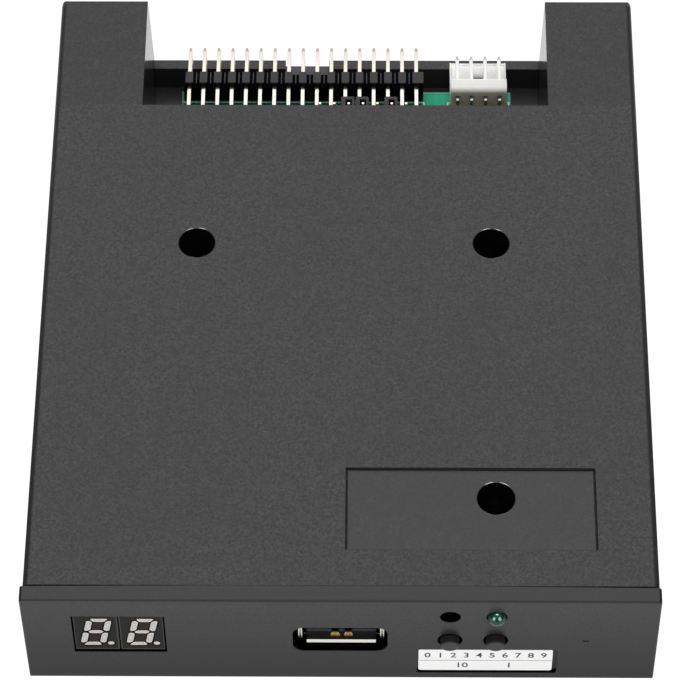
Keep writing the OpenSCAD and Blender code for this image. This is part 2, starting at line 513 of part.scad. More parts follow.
// outlines of the seven segments and the point of one digit, upright
seg_v = [[-0.36, -1.53], [0.08, -1.53], [0.48, -1.2], [0.48, 1.2], [0.08, 1.53], [-0.36, 1.53], [-0.5, 1.3], [-0.5, -1.3]];
seg_h = [[-1.3, 0.5], [1.3, 0.5], [1.37, 0.34], [0.92, -0.5], [-0.92, -0.5], [-1.37, 0.34]];
seg_g = [[-1.27, 0], [-0.86, 0.48], [0.86, 0.48], [1.27, 0], [0.86, -0.48], [-0.86, -0.48]];
function shift(p, x, z, mx = 1, mz = 1) = [for (q = p) [x + mx * q.x, z + mz * q.y]];
function slanted(p) = [for (q = p) [q.x + slant * q.y, q.y]];
digit_outlines = [for (p = [
  shift(seg_h, 0, 3.6), shift(seg_h, 0, -3.62, 1, -1), shift(seg_g, 0, 0.03),
  shift(seg_v, -1.48, 1.84), shift(seg_v, 1.59, 1.84, -1), shift(seg_v, -1.55, -1.83), shift(seg_v, 1.52, -1.83, -1)]) round_poly(slanted(p), 0.34)];
dot_pos = [2.25, -3.52];
digit_face = front + 0.35;

module digit_shapes(grow = 0) {
  for (p = digit_outlines) let (c = [for (k = [0, 1]) (max([for (q = p) q[k]]) + min([for (q = p) q[k]])) / 2])
    polygon([for (q = p) [c[0] + (q[0] - c[0]) * (1 + grow), c[1] + (q[1] - c[1]) * (1 + grow)]]);
  translate(dot_pos) circle(0.52 * (1 + grow));
}

module digit(i) color([0.10, 0.10, 0.10]) at_panel() translate([digit_x[i], 0, digit_z]) difference() {
  box(i == 1 ? -3.55 : -3.5, i == 1 ? 3.5 : 3.6, digit_face, 3.45, -5.43, 5.3);
  along_y(digit_face - 1, digit_face + 0.6) digit_shapes(0.03);
}
module left_digit() digit(0);
module right_digit() digit(1);

module segments(i) color([0.85, 0.84, 0.80]) at_panel() translate([digit_x[i], 0, digit_z]) along_y(digit_face + 0.03, digit_face + 0.6) digit_shapes();
module left_segments() segments(0);
module right_segments() segments(1);

module display_board() color([0.05, 0.42, 0.28]) at_panel() difference() {
  box(-46.9, -24.2, 3.5, 4.7, 5, 20.4);
  for (x = [-45.1, -26]) rod_y(x, 6.6, 0.9, 3, 6);
}

module display_screws() color(metal) at_panel() for (x = [-45.1, -26]) difference() {
  union() { rod_y(x, 6.6, 0.75, 0.9, 5); rod_y(x, 6.6, 1.5, 4.72, 5.6); }
  for (a = [0, 90]) translate([x, 5.2, 6.6]) rotate([0, a, 0]) box(-0.9, 0.9, 0, 2, -0.17, 0.17);
}

module display_chip() color(dark) at_panel() {
  box(-42, -30, 4.75, 6.3, 6.8, 10.8);
  for (i = [0:7], z = [6.1, 10.7]) translate([-40.45 + i * 1.27, 0, z]) box(-0.2, 0.2, 4.72, 5.2, 0, 0.8);
}

module display_connector() color([0.88, 0.87, 0.82]) at_panel() difference() {
  box(-41, -30, 4.72, 10.4, 12.4, 17.2);
  box(-40.4, -30.6, 8, 11, 13, 16.6);
}

module board_connector() color([0.88, 0.87, 0.82]) at_seam() difference() {
  box(-27, -22.4, 22, 33, board_top, board_top + 6);
  box(-26.4, -23, 22.6, 32.4, board_top + 4, board_top + 7);
}

// five wires between the two connectors, each swept along a smooth curve
function curve(a, b, c, d, t) = a * pow(1 - t, 3) + b * 3 * t * pow(1 - t, 2) + c * 3 * t * t * (1 - t) + d * pow(t, 3);
function unit(v) = v / norm(v);
module wire(a, b, c, d, r, n = 12, m = 8) {
  pts = [for (i = [0:n]) curve(a, b, c, d, i / n)];
  tan_ = [for (i = [0:n]) unit(i == 0 ? b - a : i == n ? d - c : pts[i + 1] - pts[i - 1])];
  ring = [for (i = [0:n]) let (u = unit(cross(tan_[i], [1, 0.6, 0.1])), v = cross(tan_[i], u)) for (k = [0:m - 1]) pts[i] + r * (u * cos(k * 360 / m) + v * sin(k * 360 / m))];
  polyhedron(points = ring, faces = concat(
    [[for (k = [0:m - 1]) k]], [[for (k = [m - 1:-1:0]) n * m + k]],
    [for (i = [0:n - 1], k = [0:m - 1]) [i * m + k, (i + 1) * m + k, (i + 1) * m + (k + 1) % m, i * m + (k + 1) % m]]));
}
module display_wires() color([0.75, 0.72, 0.66]) at_seam() for (i = [0:4])
  wire([-39.7 + 2 * i, 8.1, 14.8], [-39.7 + 2 * i, 20, 14.8], [-25, 31.5 - 2 * i, 23], [-24.7, 31.5 - 2 * i, board_top + 4.1], 0.55);

module front_label() color([0.93, 0.93, 0.91]) at_panel() along_y(front + 0.27, front + 0.4) rrect(12.65, 34.42, 2.32, 8.98, 0.5);

// --- selection ----------------------------------------------------------
top_cover();
bottom_tray();
front_bezel();
case_screws();
main_board();
floppy_header_body();
floppy_header_pins();
jumper_header_body();
jumper_header_pins();
jumper_cap_left();
jumper_cap_middle();
jumper_cap_right();
power_socket_body();
power_socket_pins();
usb_shell();
usb_tongue();
usb_contacts();
left_button();
right_button();
switch_housings();
switch_covers();
switch_discs();
switch_brackets();
status_lamp();
status_lamp_leads();
left_digit();
right_digit();
left_segments();
right_segments();
display_board();
display_screws();
display_chip();
display_connector();
board_connector();
display_wires();
front_label();
microcontroller();
microcontroller_leads();
buffer_chips();
buffer_chip_leads();
crystal_can();
voltage_regulator();
electrolytic_capacitors();
chip_components();
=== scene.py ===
"""Looks of a 3.5-inch bay drive emulator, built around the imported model."""
import json
import math

import bpy
import bmesh
from mathutils import Matrix, Vector

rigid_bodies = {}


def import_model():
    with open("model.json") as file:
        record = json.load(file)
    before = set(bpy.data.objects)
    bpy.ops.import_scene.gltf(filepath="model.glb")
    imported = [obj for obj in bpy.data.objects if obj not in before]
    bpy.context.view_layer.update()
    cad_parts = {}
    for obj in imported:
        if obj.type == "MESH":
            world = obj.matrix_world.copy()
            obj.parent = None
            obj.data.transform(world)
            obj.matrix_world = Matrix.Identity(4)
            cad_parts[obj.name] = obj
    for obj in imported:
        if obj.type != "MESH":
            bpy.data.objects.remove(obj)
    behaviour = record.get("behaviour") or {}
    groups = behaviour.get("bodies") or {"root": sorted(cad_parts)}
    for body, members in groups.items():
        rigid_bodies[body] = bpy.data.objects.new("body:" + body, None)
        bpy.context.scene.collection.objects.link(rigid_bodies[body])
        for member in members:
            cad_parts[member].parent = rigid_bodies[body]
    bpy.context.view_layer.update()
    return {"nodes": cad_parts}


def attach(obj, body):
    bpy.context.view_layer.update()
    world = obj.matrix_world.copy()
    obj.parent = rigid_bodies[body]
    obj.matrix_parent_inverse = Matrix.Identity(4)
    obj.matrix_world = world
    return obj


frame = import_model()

MM = 0.001
SEAM = -58.775                 # row Y of the seam between bezel and case, mm
FRONT = SEAM - 2.9             # row Y of the front face of the bezel, mm
BOARD = 9.6                    # height of the top of the main board, mm
PANEL = -0.11                  # sideways offset of the front panel layout, mm
nodes = frame["nodes"]
scene = bpy.context.scene


# --- node helpers ----------------------------------------------------------
class Look:
    """A procedural material: a Principled shader and short names for its nodes."""

    def __init__(self, name, color=(0.5, 0.5, 0.5), rough=0.5, metallic=0.0, ior=1.5, **more):
        self.mat = bpy.data.materials.new(name)
        self.mat.use_nodes = True
        self.t = self.mat.node_tree
        self.b = next(n for n in self.t.nodes if n.type == "BSDF_PRINCIPLED")
        self.b.inputs["Base Color"].default_value = (*color, 1.0)
        self.b.inputs["Roughness"].default_value = rough
        self.b.inputs["Metallic"].default_value = metallic
        self.b.inputs["IOR"].default_value = ior
        for k, v in more.items():
            self.b.inputs[k].default_value = v
        self.mat.diffuse_color = (*color, 1.0)
        self._pos = None

    def new(self, kind, ins=None, **props):
        n = self.t.nodes.new(kind)
        for k, v in props.items():
            setattr(n, k, v)
        for k, v in (ins or {}).items():
            if isinstance(v, bpy.types.NodeSocket):
                self.t.links.new(v, n.inputs[k])
            else:
                n.inputs[k].default_value = v
        return n

    def pos(self):
        """Object coordinates: metres in the row frame."""
        if self._pos is None:
            self._pos = self.new("ShaderNodeTexCoord").outputs["Object"]
        return self._pos

    def xyz(self):
        n = self.new("ShaderNodeSeparateXYZ", {0: self.pos()})
        return n.outputs[0], n.outputs[1], n.outputs[2]

    def stretch(self, sx, sy, sz):
        return self.new("ShaderNodeMapping", {"Vector": self.pos(), "Scale": (sx, sy, sz)}).outputs[0]

    def noise(self, size_mm, detail=2.0, rough=0.5, vec=None):
        """Noise whose lumps are about size_mm across."""
        return self.new("ShaderNodeTexNoise", {"Vector": vec or self.pos(), "Scale": 1.0 / (size_mm * MM),
                                               "Detail": detail, "Roughness": rough}).outputs[0]

    def cells(self, size_mm, out="Distance", vec=None):
        return self.new("ShaderNodeTexVoronoi", {"Vector": vec or self.pos(), "Scale": 1.0 / (size_mm * MM)}).outputs[out]

    def math(self, op, a, b=0.0, c=0.0, clamp=False):
        return self.new("ShaderNodeMath", {0: a, 1: b, 2: c}, operation=op, use_clamp=clamp).outputs[0]

    def remap(self, v, a, b, lo, hi):
        return self.new("ShaderNodeMapRange", {0: v, 1: a, 2: b, 3: lo, 4: hi}).outputs[0]

    def mix(self, fac, a, b, blend="MIX"):
        n = self.t.nodes.new("ShaderNodeMix")
        n.data_type, n.blend_type = "RGBA", blend
        for i, v in ((0, fac), (6, a), (7, b)):
            if isinstance(v, bpy.types.NodeSocket):
                self.t.links.new(v, n.inputs[i])
            else:
                n.inputs[i].default_value = (*v, 1.0) if isinstance(v, tuple) and len(v) == 3 else v
        return n.outputs[2]

    def bump(self, height, strength, dist_mm, normal=None):
        ins = {"Height": height, "Strength": strength, "Distance": dist_mm * MM}
        if normal is not None:
            ins["Normal"] = normal
        return self.new("ShaderNodeBump", ins).outputs[0]

    def soft_edge(self, r_mm):
        """The normal with edges rounded over r_mm."""
        return self.new("ShaderNodeBevel", {"Radius": r_mm * MM}, samples=4).outputs[0]

    def color(self, v):
        self.t.links.new(v, self.b.inputs["Base Color"])
        return self

    def rough(self, v):
        self.t.links.new(v, self.b.inputs["Roughness"])
        return self

    def normal(self, v):
        self.t.links.new(v, self.b.inputs["Normal"])
        return self


def times(c, f):
    return tuple(x * f for x in c)


# --- materials -------------------------------------------------------------
def case_look():
    """Black ABS with a fine spark-eroded grain, paler specks and smoother moulded recesses."""
    base = (0.0330, 0.0330, 0.0343)
    k = Look("case_plastic", base, 0.5, **{"Specular IOR Level": 0.36})
    x, y, z = k.xyz()
    grain = k.noise(0.42, 3.0, 0.66)
    mottle = k.noise(2.4, 2.0, 0.5)
    cloud = k.noise(26.0, 2.0, 0.5)
    ax = k.math("ABSOLUTE", x)
    # recess for the label, wells and inner walls are smoother than the outer faces
    inside = k.math("MULTIPLY", k.math("LESS_THAN", z, 23.85 * MM), k.math("LESS_THAN", ax, 50.3 * MM))
    inside = k.math("MULTIPLY", inside, k.math("MULTIPLY", k.math("GREATER_THAN", z, 0.4 * MM), k.math("LESS_THAN", y, (SEAM + 121.7) * MM)))
    amount = k.math("SUBTRACT", 1.0, k.math("MULTIPLY", inside, 0.6))
    # polished mould faces in the rear notch, apart from the top of the rear wall
    notch = k.math("MULTIPLY", inside, k.math("MULTIPLY", k.math("GREATER_THAN", y, (SEAM + 98.2) * MM), k.math("LESS_THAN", ax, 35.7 * MM)))
    wall_top = k.math("LESS_THAN", k.math("ABSOLUTE", k.math("SUBTRACT", z, 7.5 * MM)), 0.06 * MM)
    notch = k.math("MULTIPLY", notch, k.math("SUBTRACT", 1.0, wall_top))
    low = k.math("MULTIPLY", notch, k.math("LESS_THAN", ax, 34.9 * MM))
    c = k.mix(k.remap(grain, 0.37, 0.63, 0.0, 1.0), times(base, 0.22), times(base, 1.84))
    c = k.mix(k.remap(mottle, 0.35, 0.65, 0.0, 0.4), c, times(base, 1.3))
    c = k.mix(k.remap(cloud, 0.35, 0.65, 0.0, 0.2), c, times(base, 0.8))
    d = k.cells(1.4)
    r = k.cells(1.4, "Color")
    speck = k.math("MULTIPLY", k.math("LESS_THAN", d, 0.085), k.math("GREATER_THAN", k.new("ShaderNodeSeparateColor", {0: r}).outputs[0], 0.55))
    speck = k.math("MULTIPLY", speck, amount)
    c = k.mix(k.math("MULTIPLY", speck, 0.5), c, (0.10, 0.10, 0.10))
    # the floor of the label field is a little paler
    field = k.math("MULTIPLY", inside, k.math("MULTIPLY", k.math("GREATER_THAN", z, 23.55 * MM), k.math("LESS_THAN", y, (SEAM + 23.0) * MM)))
    c = k.mix(k.math("MULTIPLY", field, 0.5), c, times(base, 1.32))
    # in the rear notch the faces near the side walls are painted darker, and the floor and the inside of the rear wall
    # paler: painted light that lifts their shade
    c = k.mix(k.math("MULTIPLY", k.math("SUBTRACT", notch, low), 0.55), c, times(base, 0.35))
    c = k.mix(k.math("MULTIPLY", low, 0.7), c, times(base, 1.6))
    deep = k.math("MULTIPLY", inside, k.math("MULTIPLY", k.math("LESS_THAN", z, 23.5 * MM), k.math("LESS_THAN", y, (SEAM + 98.0) * MM)))

    def near(u, cy, r):
        dx, dy = k.math("SUBTRACT", u, 25.0 * MM), k.math("SUBTRACT", y, (SEAM + cy) * MM)
        q = k.math("ADD", k.math("MULTIPLY", dx, dx), k.math("MULTIPLY", dy, dy))
        return k.math("LESS_THAN", q, (r * MM) ** 2)

    well = k.math("MULTIPLY", k.math("MAXIMUM", near(ax, 68.13, 3.13), near(x, 17.06, 3.13)), k.math("LESS_THAN", z, 24.05 * MM))
    well = k.math("MULTIPLY", well, k.math("GREATER_THAN", z, 0.4 * MM))
    top = k.math("GREATER_THAN", z, 20.0 * MM)
    # the long groove at the rear of the field is shallow, so it takes only a little of the painted shade
    ledge = k.math("MULTIPLY", k.math("GREATER_THAN", z, 22.6 * MM), k.math("MULTIPLY", k.math("GREATER_THAN", y, (SEAM + 20.8) * MM), k.math("LESS_THAN", y, (SEAM + 24.0) * MM)))
    deep = k.math("MULTIPLY", deep, k.math("SUBTRACT", 1.0, k.math("MULTIPLY", ledge, 0.8)))
    deep = k.math("MAXIMUM", deep, well)
    # painted shade: the deep hollows inside the case and the three screw wells are painted near black
    c = k.mix(k.math("MULTIPLY", deep, 0.85), c, times(base, 0.1))
    # painted shade: the tops of the ears beside the rear notch are painted a little darker
    ear = k.math("MULTIPLY", k.math("GREATER_THAN", y, (SEAM + 98.2) * MM), k.math("GREATER_THAN", z, 23.9 * MM))
    c = k.mix(k.math("MULTIPLY", ear, 0.29), c, times(base, 0.35))
    # painted light: the narrow slit at the rear of the field is painted paler, lifting its shade
    slit = k.math("LESS_THAN", k.math("ABSOLUTE", k.math("SUBTRACT", y, (SEAM + 22.46) * MM)), 0.18 * MM)
    slit = k.math("MULTIPLY", slit, k.math("MULTIPLY", k.math("LESS_THAN", z, 24.08 * MM), k.math("LESS_THAN", k.math("ABSOLUTE", k.math("SUBTRACT", x, 20.92 * MM)), 20.4 * MM)))
    c = k.mix(k.math("MULTIPLY", k.math("MULTIPLY", slit, top), 0.9), c, times(base, 3.0))
    # a faint darker spot near the right edge
    du, dv = k.math("SUBTRACT", x, 45.8 * MM), k.math("SUBTRACT", y, (SEAM + 62.6) * MM)
    spot = k.math("ADD", k.math("MULTIPLY", du, du), k.math("MULTIPLY", dv, dv))
    c = k.mix(k.math("MULTIPLY", k.remap(spot, 0.0, (2.0 * MM) ** 2, 0.22, 0.0), top), c, times(base, 0.4))
    # painted shade: the rounded long edges are painted dark where they turn away from the light; they are also smoother
    brim = k.math("MULTIPLY", k.remap(ax, 49.75 * MM, 50.1 * MM, 0.0, 1.0), k.math("MULTIPLY", k.math("GREATER_THAN", z, 22.95 * MM), k.math("LESS_THAN", y, (SEAM + 121.0) * MM)))
    c = k.mix(k.math("MULTIPLY", brim, 0.87), c, times(base, 0.1))
    k.color(c)
    rough = k.remap(k.math("ADD", grain, k.math("MULTIPLY", mottle, 0.6)), 0.5, 1.1, 0.42, 0.58)
    gloss = k.math("ADD", k.remap(grain, 0.3, 0.7, 0.14, 0.2), k.math("MULTIPLY", low, 0.2))
    rough = k.math("ADD", k.math("MULTIPLY", rough, k.math("SUBTRACT", 1.0, notch)), k.math("MULTIPLY", gloss, notch))
    k.rough(k.math("SUBTRACT", rough, k.math("MULTIPLY", well, 0.36)))
    h = k.math("ADD", k.math("MULTIPLY", grain, 1.0), k.math("MULTIPLY", mottle, 0.6))
    h = k.math("MULTIPLY", k.math("MULTIPLY", h, amount), k.math("SUBTRACT", 1.0, k.math("MULTIPLY", k.math("MAXIMUM", notch, brim), 0.85)))
    k.normal(k.bump(h, 0.7, 0.06, k.soft_edge(0.2)))
    return k.mat


def bezel_look():
    base = (0.0228, 0.0228, 0.0237)
    k = Look("bezel_plastic", base, 0.25, **{"Specular IOR Level": 0.15})
    x, y, z = k.xyz()
    fine = k.noise(0.30, 2.0, 0.6)
    wide = k.noise(9.0, 2.0, 0.5)
    c = k.mix(k.remap(fine, 0.34, 0.66, 0.0, 1.0), times(base, 0.82), times(base, 1.19))
    c = k.mix(k.remap(wide, 0.35, 0.65, 0.0, 0.3), c, times(base, 0.85))
    face = k.math("LESS_THAN", y, (FRONT + 0.5) * MM)
    # painted shade: the front face is painted darker towards its foot, standing in for the shade near the floor
    c = k.mix(k.math("MULTIPLY", k.remap(z, 1.0 * MM, 22.0 * MM, 0.92, 0.0), face), c, times(base, 0.05))
    # painted light and shade: the top is painted paler, its front edge darker, the rounded ends darker still, where
    # they turn away from the light
    c = k.mix(k.math("MULTIPLY", k.math("GREATER_THAN", z, 24.25 * MM), 0.6), c, times(base, 1.6))
    edge = k.math("MULTIPLY", k.math("GREATER_THAN", z, 24.0 * MM), k.math("LESS_THAN", y, (FRONT + 0.32) * MM))
    c = k.mix(k.math("MULTIPLY", edge, 0.35), c, times(base, 0.15))
    out = k.math("ABSOLUTE", k.math("ADD", x, 0.07 * MM))
    bend = k.math("MAXIMUM", k.math("LESS_THAN", y, (FRONT + 0.5) * MM), k.math("GREATER_THAN", z, 23.7 * MM))
    flank = k.math("MAXIMUM", k.math("MULTIPLY", k.math("GREATER_THAN", out, 50.95 * MM), bend), k.math("MULTIPLY", k.math("GREATER_THAN", out, 50.65 * MM), k.math("GREATER_THAN", z, 24.0 * MM)))
    c = k.mix(k.math("MULTIPLY", flank, 0.85), c, times(base, 0.05))
    # cut faces inside the openings are painted dark and made metallic: painted shade
    cut = k.math("MULTIPLY", k.math("GREATER_THAN", y, (FRONT + 0.12) * MM), k.math("MULTIPLY", k.math("LESS_THAN", z, 22.0 * MM), k.math("GREATER_THAN", z, 1.0 * MM)))
    cut = k.math("MULTIPLY", cut, k.math("LESS_THAN", k.math("ABSOLUTE", x), 50.3 * MM))
    c = k.mix(k.math("MULTIPLY", cut, 0.85), c, times(base, 0.35))
    # painted light: a thin paler line is painted along the lower edge, below which the edge turns away from the light
    foot = k.math("MULTIPLY", k.math("LESS_THAN", z, 0.74 * MM), face)
    line = k.math("MULTIPLY", k.math("LESS_THAN", z, 1.04 * MM), k.math("SUBTRACT", face, foot))
    c = k.mix(k.math("MULTIPLY", line, 0.9), c, times(base, 0.4))
    k.color(c)
    # painted shade: the lower edge and the two ends of the front face are made partly metallic, which darkens them
    turned = k.math("MULTIPLY", k.math("MAXIMUM", foot, k.math("MULTIPLY", k.math("GREATER_THAN", out, 50.88 * MM), face)), 0.65)
    k.t.links.new(k.math("MAXIMUM", cut, turned), k.b.inputs["Metallic"])
    # the two end faces are left rough by the mould
    ends = k.math("MULTIPLY", k.math("GREATER_THAN", out, 50.95 * MM), k.math("SUBTRACT", 1.0, face))
    rough = k.math("SUBTRACT", k.remap(fine, 0.3, 0.7, 0.25, 0.31), k.math("MULTIPLY", cut, 0.08))
    k.rough(k.math("ADD", rough, k.math("MULTIPLY", ends, 0.62)))
    k.normal(k.bump(fine, 0.15, 0.01, k.soft_edge(0.15)))
    return k.mat


def black_plastic_look(name, base=(0.0095, 0.0095, 0.0100), rough=0.42, edge=0.1, spec=0.36):
    k = Look(name, base, rough, **{"Specular IOR Level": spec})
    fine = k.noise(0.25, 2.0, 0.5)
    c = k.mix(k.remap(fine, 0.3, 0.7, 0.0, 1.0), times(base, 0.8), times(base, 1.25))
    k.color(c)
    k.rough(k.remap(fine, 0.3, 0.7, rough - 0.05, rough + 0.08))
    k.normal(k.bump(fine, 0.25, 0.015, k.soft_edge(edge)))
    return k.mat


def header_look():
    """Grey on the tops of the cells, with painted shade below them."""
    base = (0.0125, 0.0125, 0.0130)
    k = Look("header_plastic", base, 0.42, **{"Specular IOR Level": 0.36})
    x, y, z = k.xyz()
    fine = k.noise(0.25, 2.0, 0.5)
    c = k.mix(k.remap(fine, 0.3, 0.7, 0.0, 1.0), times(base, 0.8), times(base, 1.25))
    # painted shade: below the tops of the cells the body is painted near black and made metallic
    low = k.math("LESS_THAN", z, (BOARD + 4.98) * MM)
    c = k.mix(k.math("MULTIPLY", low, 0.9), c, times(base, 0.05))
    k.color(c)
    k.t.links.new(low, k.b.inputs["Metallic"])
    k.rough(k.remap(fine, 0.3, 0.7, 0.37, 0.5))
    k.normal(k.bump(fine, 0.25, 0.015, k.soft_edge(0.06)))
    return k.mat


def tongue_look():
    """Black tongue painted darker than the other black parts, painted shade inside the socket, with a painted highlight
    in a band behind its front edge.
    """
    base = (0.0018, 0.0018, 0.0019)
    k = Look("tongue_plastic", base, 0.5, **{"Specular IOR Level": 0.04})
    x, y, z = k.xyz()
    fine = k.noise(0.25, 2.0, 0.5)
    c = k.mix(k.remap(fine, 0.3, 0.7, 0.0, 1.0), times(base, 0.8), times(base, 1.25))
    # painted highlight: a paler band on the tongue's top, behind its front edge
    band = k.math("MULTIPLY", k.math("GREATER_THAN", y, (SEAM - 1.0) * MM), k.math("LESS_THAN", y, (SEAM - 0.5) * MM))
    band = k.math("MULTIPLY", band, k.math("GREATER_THAN", z, (BOARD + 2.28) * MM))
    c = k.mix(k.math("MULTIPLY", band, 0.9), c, (0.028, 0.029, 0.034))
    k.color(c)
    k.rough(k.remap(fine, 0.3, 0.7, 0.45, 0.58))
    k.normal(k.bump(fine, 0.25, 0.015, k.soft_edge(0.05)))
    return k.mat


def button_look():
    """Grey on the pressed face; the side that slides in the hole is made metallic so it turns near black, painted
    shade.
    """
    base = (0.0200, 0.0200, 0.0208)
    k = Look("button_plastic", base, 0.42, **{"Specular IOR Level": 0.18})
    x, y, z = k.xyz()
    fine = k.noise(0.25, 2.0, 0.5)
    c = k.mix(k.remap(fine, 0.3, 0.7, 0.0, 1.0), times(base, 0.8), times(base, 1.25))
    # painted shade: the side is made metallic, which turns it near black
    side = k.math("GREATER_THAN", y, (FRONT - 1.12) * MM)
    c = k.mix(side, c, times(base, 3.4))
    k.color(c)
    k.t.links.new(side, k.b.inputs["Metallic"])
    k.rough(k.math("ADD", k.remap(fine, 0.3, 0.7, 0.37, 0.5), k.math("MULTIPLY", side, 0.3)))
    k.normal(k.bump(fine, 0.25, 0.015, k.soft_edge(0.1)))
    return k.mat


def nylon_look():
    """Milky nylon, with painted light and shade: the thick lower front is painted warm and dim, for light that goes in
    and comes out warm and dim there, and the front part is painted greyer.
    """
    base = (0.95, 0.94, 0.92)
    k = Look("white_nylon", base, 0.42, **{"Subsurface Weight": 0.5, "Subsurface Radius": (1.0, 0.8, 0.55), "Subsurface Scale": 0.0012})
    fine = k.noise(0.5, 2.0, 0.5)
    c = k.mix(k.remap(fine, 0.3, 0.7, 0.0, 1.0), times(base, 0.96), times(base, 1.03))
    x, y, z = k.xyz()
    thick = k.math("MULTIPLY", k.remap(y, (SEAM + 108.5) * MM, (SEAM + 109.2) * MM, 1.0, 0.0), k.remap(z, 11.2 * MM, 15.2 * MM, 1.0, 0.0))
    # painted shade: the front of the body is painted greyer than its back wall
    c = k.mix(k.remap(y, (SEAM + 110.9) * MM, (SEAM + 111.1) * MM, 0.8, 0.0), c, (0.69, 0.675, 0.65))
    # painted light and shade: the thick lower front is painted warm and dim
    c = k.mix(thick, c, (1.0, 0.78, 0.54))
    k.color(c)
    k.rough(k.remap(fine, 0.3, 0.7, 0.38, 0.5))
    k.normal(k.bump(fine, 0.15, 0.02, k.soft_edge(0.1)))
    return k.mat


def board_look():
    """Green solder mask with faint copper runs under it, a painted highlight along the cut edge and painted shade where
    the cover and the parts shade it.
    """
    mask = (0.010, 0.360, 0.195)
    k = Look("board_laminate", mask, 0.38, **{"Specular IOR Level": 0.16})
    x, y, z = k.xyz()
    run = k.new("ShaderNodeTexWave", {"Vector": k.pos(), "Scale": 260.0, "Distortion": 6.0, "Detail": 1.0, "Detail Scale": 0.6},
                bands_direction="X").outputs[1]
    copper = k.remap(run, 0.45, 0.6, 0.0, 1.0)
    weave = k.noise(0.3, 1.0, 0.5)
    c = k.mix(k.math("MULTIPLY", copper, 0.5), mask, times(mask, 1.2))
    c = k.mix(k.remap(weave, 0.3, 0.7, 0.0, 0.3), c, times(mask, 0.82))
    # along the rear edge: a painted dark line, then a pale strip, a painted highlight on the edge; the right edge is
    # paler too
    gap = k.math("MULTIPLY", k.math("GREATER_THAN", y, (SEAM + 112.25) * MM), k.math("LESS_THAN", y, (SEAM + 112.5) * MM))
    c = k.mix(k.math("MULTIPLY", gap, 0.6), c, times(mask, 0.35))
    rim = k.math("MAXIMUM", k.math("GREATER_THAN", y, (SEAM + 112.5) * MM), k.math("MULTIPLY", k.math("GREATER_THAN", x, 29.2 * MM), 0.6))
    # painted shade: the board is painted dark under the cover, in front of the power socket and in front of the header
    under = k.math("LESS_THAN", y, (SEAM + 108.3) * MM)
    c = k.mix(k.math("MULTIPLY", under, 0.75), c, times(mask, 0.08))
    shade = k.math("MULTIPLY", k.math("LESS_THAN", x, 13.6 * MM), k.math("LESS_THAN", y, (SEAM + 110.2) * MM))
    c = k.mix(k.math("MULTIPLY", shade, 0.7), c, times(mask, 0.03))
    edge = k.math("LESS_THAN", x, -29.0 * MM)
    c = k.mix(k.math("MULTIPLY", edge, 0.85), c, times(mask, 0.06))
    side = k.math("MULTIPLY", k.math("LESS_THAN", z, 9.55 * MM), k.math("GREATER_THAN", z, 8.05 * MM))
    c = k.mix(k.math("MULTIPLY", rim, 0.75), c, (0.16, 0.44, 0.31))
    c = k.mix(k.math("MULTIPLY", side, 0.6), c, (0.20, 0.24, 0.12))
    # painted shade: inside the case, near the front panel, the board is painted near black
    inner = k.math("LESS_THAN", y, (SEAM + 15.0) * MM)
    c = k.mix(k.math("MULTIPLY", inner, 0.97), c, times(mask, 0.01))
    k.color(c)
    k.rough(k.remap(weave, 0.3, 0.7, 0.33, 0.44))
    k.normal(k.bump(copper, 0.3, 0.02))
    return k.mat


def metal_look(name, base, rough, scratch=0.3, edge=0.06, var=0.12):
    k = Look(name, base, rough, metallic=1.0)
    s = k.noise(0.6, 3.0, 0.6, k.stretch(1.0, 0.15, 1.0))
    c = k.mix(k.remap(s, 0.3, 0.7, 0.0, 1.0), times(base, 1 - var), times(base, 1 + var * 0.4))
    k.color(c)
    k.rough(k.remap(s, 0.3, 0.7, max(0.05, rough - 0.06), rough + 0.07))
    k.normal(k.bump(s, scratch, 0.008, k.soft_edge(edge)))
    return k.mat


def pin_look():
    """Pale plating on the bends, darker towards the tips."""
    k = Look("header_plate", (0.8, 0.76, 0.7), 0.2, metallic=1.0)
    x, y, z = k.xyz()
    s = k.noise(0.6, 3.0, 0.6, k.stretch(1.0, 0.15, 1.0))
    c = k.mix(k.remap(y, (SEAM + 113.0) * MM, (SEAM + 119.0) * MM, 0.0, 1.0), (0.57, 0.545, 0.50), (0.43, 0.385, 0.335))
    k.color(k.mix(k.remap(s, 0.3, 0.7, 0.0, 0.15), c, (0.35, 0.31, 0.26)))
    k.rough(k.remap(s, 0.3, 0.7, 0.14, 0.26))
    k.normal(k.bump(s, 0.3, 0.008, k.soft_edge(0.06)))
    return k.mat


def power_pin_look():
    """Bright on top; the legs are painted near black and made rougher, painted shade."""
    k = Look("power_plate", (0.85, 0.85, 0.83), 0.2, metallic=1.0)
    x, y, z = k.xyz()
    s = k.noise(0.6, 3.0, 0.6, k.stretch(1.0, 0.15, 1.0))
    # painted shade: below the bends the legs are painted near black
    c = k.mix(k.remap(z, 12.3 * MM, 13.1 * MM, 0.0, 1.0), (0.035, 0.035, 0.034), (0.46, 0.46, 0.45))
    k.color(k.mix(k.remap(s, 0.3, 0.7, 0.0, 0.1), c, (0.3, 0.3, 0.29)))
    k.rough(k.math("ADD", k.remap(s, 0.3, 0.7, 0.14, 0.26), k.remap(z, 12.3 * MM, 13.1 * MM, 0.4, 0.0)))
    k.normal(k.bump(s, 0.3, 0.008, k.soft_edge(0.06)))
    return k.mat


